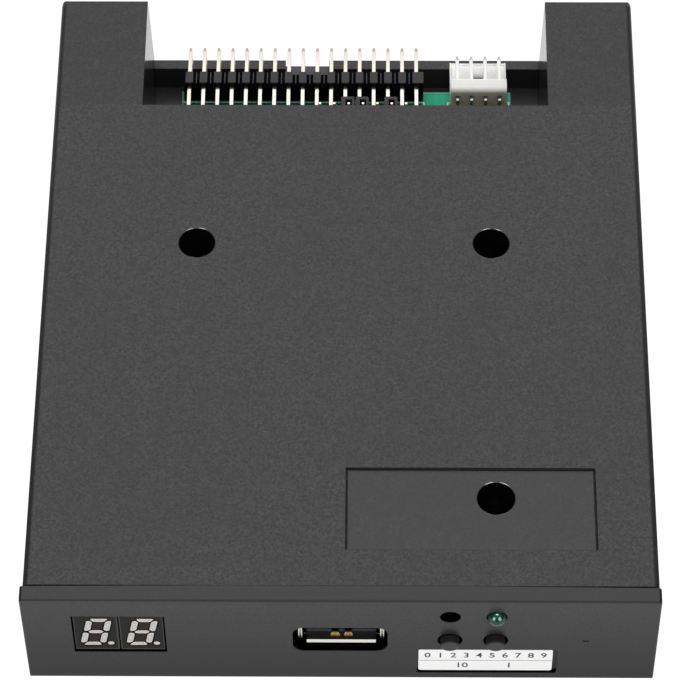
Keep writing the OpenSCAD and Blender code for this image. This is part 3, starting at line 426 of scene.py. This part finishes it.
def contact_look():
    """Gold on the bent noses, with painted shade on the runs behind them."""
    k = Look("contact_gold", (0.52, 0.31, 0.11), 0.28, metallic=1.0)
    x, y, z = k.xyz()
    n = k.noise(0.4, 2.0, 0.5)
    c = k.mix(k.remap(n, 0.3, 0.7, 0.0, 1.0), (0.26, 0.155, 0.055), (0.34, 0.205, 0.075))
    k.color(k.mix(k.math("GREATER_THAN", y, (SEAM - 1.6 + 0.40) * MM), c, (0.020, 0.012, 0.005)))
    k.rough(k.remap(n, 0.3, 0.7, 0.24, 0.34))
    k.normal(k.bump(n, 0.1, 0.01, k.soft_edge(0.06)))
    return k.mat


def lamp_look():
    k = Look("lamp_epoxy", (0.001, 0.034, 0.020), 0.06, ior=1.46, **{"Specular Tint": (0.75, 1.0, 0.92, 1.0)})
    n = k.noise(0.8, 2.0, 0.5)
    k.color(k.mix(k.remap(n, 0.3, 0.7, 0.0, 1.0), (0.0003, 0.010, 0.006), (0.0006, 0.016, 0.0095)))
    k.rough(k.remap(n, 0.3, 0.7, 0.04, 0.08))
    k.normal(k.bump(n, 0.05, 0.01))
    return k.mat


def digit_look():
    """Dark grey face, brownish inside the loops of the figure."""
    base = (0.0225, 0.0218, 0.0210)
    k = Look("digit_face", base, 0.5, **{"Specular IOR Level": 0.27})
    x, y, z = k.xyz()
    fine = k.noise(0.22, 2.0, 0.5)
    c = k.mix(k.remap(fine, 0.3, 0.7, 0.0, 1.0), times(base, 0.8), times(base, 1.2))
    # which digit, then distance from its slanted middle line
    right = k.math("GREATER_THAN", x, (-35.65 + PANEL) * MM)
    mid = k.math("ADD", (-39.35 + PANEL) * MM, k.math("MULTIPLY", right, 7.4 * MM))
    dz = k.math("SUBTRACT", z, 14.0 * MM)
    u = k.math("ABSOLUTE", k.math("SUBTRACT", k.math("SUBTRACT", x, mid), k.math("MULTIPLY", dz, math.tan(math.radians(10)))))
    az = k.math("ABSOLUTE", dz)
    loop = k.math("MULTIPLY", k.math("LESS_THAN", u, 1.0 * MM), k.math("MULTIPLY", k.math("GREATER_THAN", az, 0.55 * MM), k.math("LESS_THAN", az, 3.0 * MM)))
    c = k.mix(k.math("MULTIPLY", loop, 0.8), c, (0.030, 0.0225, 0.0175))
    # painted highlight on the edges of the module
    off = k.math("ABSOLUTE", k.math("SUBTRACT", x, mid))
    rim = k.math("MAXIMUM", k.math("GREATER_THAN", off, 3.36 * MM), k.math("LESS_THAN", dz, -5.12 * MM))
    c = k.mix(k.math("MULTIPLY", rim, 0.8), c, times(base, 3.4))
    k.color(c)
    k.rough(k.remap(fine, 0.3, 0.7, 0.45, 0.6))
    k.normal(k.bump(fine, 0.2, 0.01, k.soft_edge(0.08)))
    return k.mat


def segment_look(name="segment_epoxy", base=(0.66, 0.63, 0.60)):
    k = Look(name, base, 0.4, **{"Subsurface Weight": 0.15, "Subsurface Radius": (1.0, 0.85, 0.7), "Subsurface Scale": 0.0005})
    n = k.noise(0.4, 2.0, 0.5)
    k.color(k.mix(k.remap(n, 0.3, 0.7, 0.0, 1.0), times(base, 0.9), times(base, 1.06)))
    k.rough(k.remap(n, 0.3, 0.7, 0.35, 0.5))
    k.normal(k.bump(n, 0.15, 0.02))
    return k.mat


def paper_look():
    base = (0.92, 0.92, 0.915)
    k = Look("label_paper", base, 0.55)
    n = k.noise(0.18, 3.0, 0.6)
    w = k.noise(5.0, 2.0, 0.5)
    c = k.mix(k.remap(n, 0.3, 0.7, 0.0, 1.0), times(base, 0.97), times(base, 1.01))
    k.color(k.mix(k.remap(w, 0.35, 0.65, 0.0, 0.1), c, (0.90, 0.89, 0.87)))
    k.rough(k.remap(n, 0.3, 0.7, 0.5, 0.62))
    k.normal(k.bump(n, 0.2, 0.01))
    return k.mat


def ink_look(name, base, rough=0.5, spec=0.5):
    k = Look(name, base, rough, **{"Specular IOR Level": spec})
    n = k.noise(0.15, 2.0, 0.6)
    k.color(k.mix(k.remap(n, 0.3, 0.7, 0.0, 1.0), times(base, 0.85), times(base, 1.15)))
    k.rough(k.remap(n, 0.3, 0.7, rough - 0.05, rough + 0.08))
    k.normal(k.bump(n, 0.2, 0.005))
    return k.mat


looks = {
    "case_plastic": case_look(),
    "bezel_plastic": bezel_look(),
    "black_plastic": black_plastic_look("black_plastic"),
    "button_plastic": button_look(),
    "white_nylon": nylon_look(),
    "board_laminate": board_look(),
    "gold_plate": metal_look("gold_plate", (0.74, 0.66, 0.56), 0.16),
    "tin_plate": metal_look("tin_plate", (0.66, 0.635, 0.60), 0.16),
    "steel": metal_look("steel", (0.10, 0.10, 0.105), 0.4),
    "lamp_epoxy": lamp_look(),
    "digit_face": digit_look(),
    "segment_epoxy": segment_look(),
    "label_paper": paper_look(),
    "wire_pvc": black_plastic_look("wire_pvc", (0.55, 0.52, 0.46), 0.45, 0.05),
    "chip_epoxy": black_plastic_look("chip_epoxy", (0.016, 0.016, 0.017), 0.6, 0.08),
    "can_aluminium": metal_look("can_aluminium", (0.74, 0.74, 0.75), 0.32),
    "chip_ceramic": black_plastic_look("chip_ceramic", (0.30, 0.22, 0.15), 0.5, 0.05),
}
for o in nodes.values():
    for s in o.material_slots:
        if s.material.name.split(".")[0] in looks:
            s.material = looks[s.material.name.split(".")[0]]

cap_look = black_plastic_look("cap_plastic", (0.019, 0.019, 0.020), 0.45)
for n, m in (("jumper_cap_left", cap_look), ("jumper_cap_middle", cap_look), ("jumper_cap_right", cap_look), ("usb_contacts", contact_look()), ("usb_tongue", tongue_look()), ("floppy_header_body", header_look()), ("floppy_header_pins", pin_look()), ("power_socket_pins", power_pin_look())):
    for s in nodes[n].material_slots:
        s.material = m


# --- detail pieces ---------------------------------------------------------
def piece(name, bm, body, look, smooth=False):
    bmesh.ops.recalc_face_normals(bm, faces=bm.faces)
    me = bpy.data.meshes.new(name)
    bm.to_mesh(me)
    bm.free()
    for f in me.polygons:
        f.use_smooth = smooth
    me.materials.append(look)
    o = bpy.data.objects.new(name, me)
    scene.collection.objects.link(o)
    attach(o, body)
    return o


def slab(bm, x0, x1, y0, y1, z0, z1):
    """A box between two corners, mm."""
    v = [bm.verts.new((x * MM, y * MM, z * MM)) for z in (z0, z1) for x, y in ((x0, y0), (x1, y0), (x1, y1), (x0, y1))]
    for f in ((0, 1, 2, 3), (4, 5, 6, 7), (0, 1, 5, 4), (1, 2, 6, 5), (2, 3, 7, 6), (3, 0, 4, 7)):
        bm.faces.new([v[i] for i in f])


def prism(bm, outline, y0, y1):
    """An outline in (x, z), mm, drawn out from y0 to y1."""
    a = [bm.verts.new((x * MM, y0 * MM, z * MM)) for x, z in outline]
    b = [bm.verts.new((x * MM, y1 * MM, z * MM)) for x, z in outline]
    bm.faces.new(a)
    bm.faces.new(b[::-1])
    for i in range(len(a)):
        j = (i + 1) % len(a)
        bm.faces.new((a[i], b[i], b[j], a[j]))


def frame_ring(bm, inner, outer, y0, y1):
    """The band between two outlines in (x, z) with the same number of points, drawn out from y0 to y1."""
    n = len(inner)
    r = [[bm.verts.new((x * MM, y * MM, z * MM)) for x, z in o] for y in (y0, y1) for o in (inner, outer)]
    for i in range(n):
        j = (i + 1) % n
        bm.faces.new((r[0][i], r[0][j], r[1][j], r[1][i]))
        bm.faces.new((r[2][i], r[3][i], r[3][j], r[2][j]))
        bm.faces.new((r[1][i], r[1][j], r[3][j], r[3][i]))
        bm.faces.new((r[0][i], r[2][i], r[2][j], r[0][j]))


def lathe(bm, cx, cy, profile, n=16):
    """A profile of (radius, height), mm, turned about an upright axis; it starts and ends on the axis or is closed by caps."""
    rings = [[bm.verts.new(((cx + r * math.cos(2 * math.pi * i / n)) * MM, (cy + r * math.sin(2 * math.pi * i / n)) * MM, z * MM)) for i in range(n)]
             for r, z in profile]
    for a, b in zip(rings, rings[1:]):
        for i in range(n):
            j = (i + 1) % n
            bm.faces.new((a[i], a[j], b[j], b[i]))
    bm.faces.new(rings[0][::-1])
    bm.faces.new(rings[-1])


def grown(outline, d):
    """The outline moved outwards by d, point by point."""
    n = len(outline)
    area = sum(outline[i][0] * outline[(i + 1) % n][1] - outline[(i + 1) % n][0] * outline[i][1] for i in range(n))
    out = []
    for i, p in enumerate(outline):
        a, b = Vector(outline[i - 1]), Vector(outline[(i + 1) % n])
        t = (b - a).normalized()
        nrm = Vector((t.y, -t.x)) * (1 if area > 0 else -1)
        out.append((p[0] + nrm.x * d, p[1] + nrm.y * d))
    return out


def round_poly(p, r, n=4):
    out = []
    for i in range(len(p)):
        b = Vector(p[i])
        a, c = Vector(p[i - 1]) - b, Vector(p[(i + 1) % len(p)]) - b
        q, e = b + a * min(r / a.length, 0.48), b + c * min(r / c.length, 0.48)
        for k in range(n + 1):
            t = k / n
            out.append(tuple(q * (1 - t) ** 2 + b * 2 * t * (1 - t) + e * t * t))
    return out


def digit_outlines():
    """The seven segments of one digit, upright ones slanted by ten degrees, as on the module."""
    seg_v = [(-0.36, -1.53), (0.08, -1.53), (0.48, -1.2), (0.48, 1.2), (0.08, 1.53), (-0.36, 1.53), (-0.5, 1.3), (-0.5, -1.3)]
    seg_h = [(-1.3, 0.5), (1.3, 0.5), (1.37, 0.34), (0.92, -0.5), (-0.92, -0.5), (-1.37, 0.34)]
    seg_g = [(-1.27, 0.0), (-0.86, 0.48), (0.86, 0.48), (1.27, 0.0), (0.86, -0.48), (-0.86, -0.48)]

    def shift(p, x, z, mx=1, mz=1):
        return [(x + mx * a, z + mz * b) for a, b in p]

    out = [shift(seg_h, 0, 3.6), shift(seg_h, 0, -3.62, 1, -1), shift(seg_g, 0, 0.03), shift(seg_v, -1.48, 1.84),
           shift(seg_v, 1.59, 1.84, -1), shift(seg_v, -1.55, -1.83), shift(seg_v, 1.52, -1.83, -1)]
    k = math.tan(math.radians(10))
    return [round_poly([(a + k * b, b) for a, b in p], 0.34) for p in out]


def scaled(p, fx, fz):
    cx, cz = (max(q[0] for q in p) + min(q[0] for q in p)) / 2, (max(q[1] for q in p) + min(q[1] for q in p)) / 2
    return [(cx + (a - cx) * fx, cz + (b - cz) * fz) for a, b in p]


def make_display():
    """Dark print round each segment and a greyer core seen through the milky epoxy."""
    rim_look = ink_look("segment_rim", (0.0052, 0.0040, 0.0030), 0.75, 0.06)
    core_look = segment_look("segment_core", (0.46, 0.435, 0.40))
    face = FRONT + 0.35
    for name, cx in (("left", -39.35 + PANEL), ("right", -31.95 + PANEL)):
        at = lambda p: [(a + cx, b + 14.0) for a, b in p]
        rims, cores = bmesh.new(), bmesh.new()
        dot = [(2.25 + 0.52 * math.cos(2 * math.pi * i / 32), -3.52 + 0.52 * math.sin(2 * math.pi * i / 32)) for i in range(32)]
        for i, p in enumerate(digit_outlines() + [dot]):
            q = scaled(p, 1.03, 1.03)
            frame_ring(rims, at(q), at(grown(q, 0.2)), face - 0.006, face + 0.01)
            if i > 2 and i < 7:
                frame_ring(cores, at(scaled(p, 0.34, 0.50)), at(scaled(p, 0.56, 0.66)), face + 0.022, face + 0.05)
            elif i < 3:
                frame_ring(cores, at(scaled(p, 0.5, 0.16)), at(scaled(p, 0.66, 0.36)), face + 0.022, face + 0.05)
        piece(name + "_digit_print", rims, "case", rim_look)
        piece(name + "_segment_cores", cores, "case", core_look)


def add_text(bm, body, size, x, z, y):
    """Figures facing the front, middle of the base line at x, z."""
    c = bpy.data.curves.new("figures", "FONT")
    c.body, c.size, c.align_x, c.resolution_u, c.extrude, c.offset = body, size * MM, "CENTER", 3, 0.004 * MM, 0.025 * MM
    o = bpy.data.objects.new("figures", c)
    scene.collection.objects.link(o)
    bpy.context.view_layer.update()
    me = bpy.data.meshes.new_from_object(o.evaluated_get(bpy.context.evaluated_depsgraph_get()))
    me.transform(Matrix(((1, 0, 0, x * MM), (0, 0, -1, y * MM), (0, 1, 0, z * MM), (0, 0, 0, 1))))
    bm.from_mesh(me)
    bpy.data.objects.remove(o)
    bpy.data.curves.remove(c)
    bpy.data.meshes.remove(me)


def make_label():
    """Plain figures and a dividing line on the paper label."""
    y = FRONT + 0.265
    ink = bmesh.new()
    for i in range(10):
        add_text(ink, str(i), 2.1, 14.0 + i * 2.1, 6.42, y)
    add_text(ink, "10", 2.1, 19.6, 3.27, y)
    add_text(ink, "1", 2.1, 27.3, 3.27, y)
    piece("label_figures", ink, "case", ink_look("label_ink", (0.05, 0.05, 0.053), 0.6))
    rule = bmesh.new()
    slab(rule, 12.72, 34.2, y - 0.004, y + 0.004, 5.37, 5.53)
    piece("label_rule", rule, "case", ink_look("rule_ink", (0.30, 0.30, 0.30), 0.6))


def make_board_print():
    """White print on the board: an outline round the header, marks round the power socket."""
    bm = bmesh.new()
    w = 0.08

    def line(x0, d0, x1, d1):
        slab(bm, min(x0, x1) - w, max(x0, x1) + w, SEAM + min(d0, d1) - w, SEAM + max(d0, d1) + w, BOARD - 0.004, BOARD + 0.012)

    line(-29.42, 110.4, 14.0, 110.4)
    line(14.0, 105.2, 14.0, 110.24)
    line(-29.42, 105.2, 14.0, 105.2)
    line(18.24, 110.37, 18.62, 110.37)
    line(18.24, 107.0, 18.24, 110.2)
    line(18.24, 107.0, 29.2, 107.0)
    line(28.98, 110.42, 29.4, 110.42)
    line(29.2, 107.0, 29.2, 110.26)
    line(-6.1, 99.4, 12.0, 99.4)
    line(-6.1, 104.9, 12.0, 104.9)
    line(-6.1, 99.56, -6.1, 104.74)
    line(12.0, 99.56, 12.0, 104.74)
    piece("board_print", bm, "case", ink_look("print_white", (0.86, 0.87, 0.85), 0.5))
    left = bmesh.new()
    slab(left, -29.5, -29.34, SEAM + 105.36, SEAM + 112.3, BOARD - 0.004, BOARD + 0.012)
    piece("board_print_left", left, "case", ink_look("print_grey", (0.22, 0.26, 0.24), 0.5))


def make_solder():
    """Solder cones where the bent legs and the upright pins meet the board."""
    bm = bmesh.new()
    legs = [(-7.75 + (i - 8) * 2.54, d) for i in range(17) for d in (106.35, 108.89)]
    legs += [(23.7 + (i - 1.5) * 2.5, 107.73) for i in range(4)]
    for x, d in legs:
        lathe(bm, x, SEAM + d, [(0.86, BOARD - 0.005), (0.84, BOARD + 0.05), (0.62, BOARD + 0.14), (0.5, BOARD + 0.34), (0.46, BOARD + 0.6)])
    piece("solder_joints", bm, "case", metal_look("solder", (0.70, 0.70, 0.69), 0.25), smooth=True)


def make_clips():
    """Folded spring clips inside the jumper caps, two leaves beside each pin."""
    for name, i in (("left", 2), ("middle", 3), ("right", 5)):
        bm = bmesh.new()
        cx = -4.55 + i * 2.54
        for d in (100.91, 103.45):
            y = SEAM + d
            for s in (-1, 1):
                x0, x1 = sorted((cx + s * 0.36, cx + s * 0.5))
                slab(bm, x0, x1, y - 0.42, y + 0.42, 13.6, 16.9)
                x2, x3 = sorted((cx + s * 0.42, cx + s * 0.53))
                slab(bm, x2, x3, y - 0.3, y + 0.3, 16.9, 17.25)
        piece("jumper_clip_" + name, bm, "jumper_cap_" + name, looks["tin_plate"])


def make_well_lips():
    """Shiny broken edges of the three screw wells, where the mould core was parted."""
    k = Look("well_lip", (0.030, 0.030, 0.031), 0.2)
    n = k.noise(0.3, 2.0, 0.5)
    k.color(k.mix(k.remap(n, 0.3, 0.7, 0.0, 1.0), (0.026, 0.026, 0.027), (0.034, 0.034, 0.035)))
    k.rough(k.remap(n, 0.3, 0.7, 0.14, 0.26))
    k.normal(k.bump(n, 0.15, 0.01))
    bm = bmesh.new()
    n = 72
    for cx, d, top in ((-25.0, 68.13, 24.1), (25.0, 68.13, 24.1), (25.0, 17.06, 23.65)):
        profile = [(3.1, top - 0.1), (3.094, top - 0.094), (3.194, top + 0.006), (3.2, top)]
        rings = [[bm.verts.new(((cx + r * math.cos(2 * math.pi * i / n)) * MM, (SEAM + d + r * math.sin(2 * math.pi * i / n)) * MM, z * MM)) for i in range(n)]
                 for r, z in profile]
        for j in range(4):
            a, b = rings[j], rings[(j + 1) % 4]
            for i in range(n):
                bm.faces.new((a[i], a[(i + 1) % n], b[(i + 1) % n], b[i]))
    piece("well_lips", bm, "case", k.mat)


make_display()
make_well_lips()
make_label()
make_board_print()
make_solder()
make_clips()


# --- stage: pale floor, soft light, camera at the photo's angle ------------
def make_floor(name, y0, y1):
    """One half of the pale sweep, from y0 to y1."""
    bm = bmesh.new()
    bm.faces.new([bm.verts.new(v) for v in ((-3, y0, 0), (3, y0, 0), (3, y1, 0), (-3, y1, 0))])
    me = bpy.data.meshes.new(name)
    bm.to_mesh(me)
    bm.free()
    o = bpy.data.objects.new(name, me)
    scene.collection.objects.link(o)
    o.location.z = -0.00002
    k = Look("floor_sweep", (0.08, 0.08, 0.08), 0.8, **{"Emission Color": (1.0, 1.0, 1.0, 1.0), "Emission Strength": 0.96, "Specular IOR Level": 0.1})
    n = k.noise(60.0, 2.0, 0.5)
    k.color(k.mix(k.remap(n, 0.3, 0.7, 0.0, 1.0), (0.078, 0.078, 0.078), (0.082, 0.082, 0.082)))
    k.rough(k.remap(n, 0.3, 0.7, 0.75, 0.85))
    o.data.materials.append(k.mat)
    return o


def make_light(name, loc, target, size, power, size_y=None):
    d = bpy.data.lights.new(name, "AREA")
    d.energy = power
    d.shape = "RECTANGLE"
    d.size = size
    d.size_y = size_y or size
    o = bpy.data.objects.new(name, d)
    scene.collection.objects.link(o)
    o.location = loc
    o.rotation_euler = (Vector(target) - Vector(loc)).to_track_quat("-Z", "Y").to_euler()
    o.visible_camera = False
    return o


def make_camera():
    d = bpy.data.cameras.new("camera")
    d.sensor_width = 36.0
    d.lens = 190.51
    d.clip_start = 0.01
    d.clip_end = 50.0
    fwd = Vector((-0.01021, 0.57536, -0.81787)).normalized()
    right = Vector((0.99984, 0.01775, 0.0)).normalized()
    right = (right - fwd * right.dot(fwd)).normalized()
    down = fwd.cross(right).normalized()
    r = math.radians(0.672)
    r0 = right * math.cos(r) + down * math.sin(r)
    r1 = down * math.cos(r) - right * math.sin(r)
    o = bpy.data.objects.new("camera", d)
    scene.collection.objects.link(o)
    m = Matrix.Identity(4)
    for i in range(3):
        m[i][0], m[i][1], m[i][2] = r0[i], -r1[i], -fwd[i]
    m[0][3], m[1][3], m[2][3] = 0.005615, -0.355951, 0.514685
    o.matrix_world = m
    scene.camera = o


def linked(light, names, state):
    """Let a light reach only the named objects, or all but them."""
    group = bpy.data.collections.new(light.name + "_" + state.lower())
    for n in names:
        group.objects.link(nodes.get(n) or bpy.data.objects[n])
    for c in group.collection_objects:
        c.light_linking.link_state = state
    light.light_linking.receiver_collection = group


shell = ["top_cover", "bottom_tray"]
front_print = ["front_label", "label_figures", "label_rule", "left_digit", "right_digit", "left_segments", "right_segments",
               "left_digit_print", "right_digit_print", "left_segment_cores", "right_segment_cores"]
make_floor("floor_behind", 0.0635, 3.0)
floor = make_floor("floor_front", -3.0, 0.0635)
# the case takes no light from the front half of the sweep, so its edges stay dark
linked(floor, shell + front_print, "EXCLUDE")
make_camera()
world = bpy.data.worlds.new("studio")
world.use_nodes = True
bg = next(n for n in world.node_tree.nodes if n.type == "BACKGROUND")
# brighter above and behind, dimmer towards the viewer's side of the room, to both sides and near the horizon
wt = world.node_tree
coord = wt.nodes.new("ShaderNodeTexCoord")
part = wt.nodes.new("ShaderNodeSeparateXYZ")
ramp = wt.nodes.new("ShaderNodeMapRange")
ramp.interpolation_type = "SMOOTHSTEP"
for i, v in ((1, -0.8), (2, 0.5), (3, 0.6), (4, 2.18)):
    ramp.inputs[i].default_value = v
wt.links.new(coord.outputs["Generated"], part.inputs[0])
wt.links.new(part.outputs[1], ramp.inputs[0])
rise = wt.nodes.new("ShaderNodeMapRange")
rise.interpolation_type = "SMOOTHSTEP"
for i, v in ((1, 0.1), (2, 0.9), (3, 0.1), (4, 1.0)):
    rise.inputs[i].default_value = v
wt.links.new(part.outputs[2], rise.inputs[0])
both = wt.nodes.new("ShaderNodeMath")
both.operation = "MULTIPLY"
wt.links.new(ramp.outputs[0], both.inputs[0])
wt.links.new(rise.outputs[0], both.inputs[1])
away = wt.nodes.new("ShaderNodeMath")
away.operation = "ABSOLUTE"
wt.links.new(part.outputs[0], away.inputs[0])
sides = wt.nodes.new("ShaderNodeMapRange")
sides.interpolation_type = "SMOOTHSTEP"
for i, v in ((1, 0.3), (2, 0.8), (3, 1.0), (4, 0.25)):
    sides.inputs[i].default_value = v
wt.links.new(away.outputs[0], sides.inputs[0])
total = wt.nodes.new("ShaderNodeMath")
total.operation = "MULTIPLY"
wt.links.new(both.outputs[0], total.inputs[0])
wt.links.new(sides.outputs[0], total.inputs[1])
wt.links.new(total.outputs[0], bg.inputs[1])
bg.inputs[0].default_value = (1.0, 1.0, 1.0, 1.0)
scene.world = world
front_plastic = ["front_bezel", "left_button", "right_button"]
for name, x in (("left", -0.20), ("right", 0.21)):
    spot = (x, -0.30, 0.17)
    linked(make_light(name + "_softbox", spot, (0.01, -0.062, 0.014), 0.20, 1.9, 0.24), shell + front_print + front_plastic + ["power_socket_pins"], "EXCLUDE")
    fill = make_light(name + "_fill", spot, (0.01, -0.062, 0.014), 0.20, 0.85, 0.24)
    fill.visible_glossy = False
    linked(fill, front_plastic, "INCLUDE")
linked(make_light("front_fill", (0.0, -0.30, 0.17), (0.0, -0.062, 0.014), 0.20, 0.88, 0.16), front_print, "INCLUDE")
linked(make_light("lamp_window", (0.025, -0.05, 0.45), (0.025, -0.062, 0.02), 0.22, 2.0, 0.10), ["status_lamp"], "INCLUDE")
# low strips beside the case, for its two long side faces
for name, x in (("left", -0.50), ("right", 0.50)):
    strip = make_light(name + "_strip", (x, 0.0, 0.012), (0.0, 0.0, 0.012), 0.11, 2.6, 0.02)
    strip.visible_glossy = False
    linked(strip, shell + ["front_bezel"], "INCLUDE")
scene.view_settings.view_transform = "Standard"
scene.view_settings.look = "None"
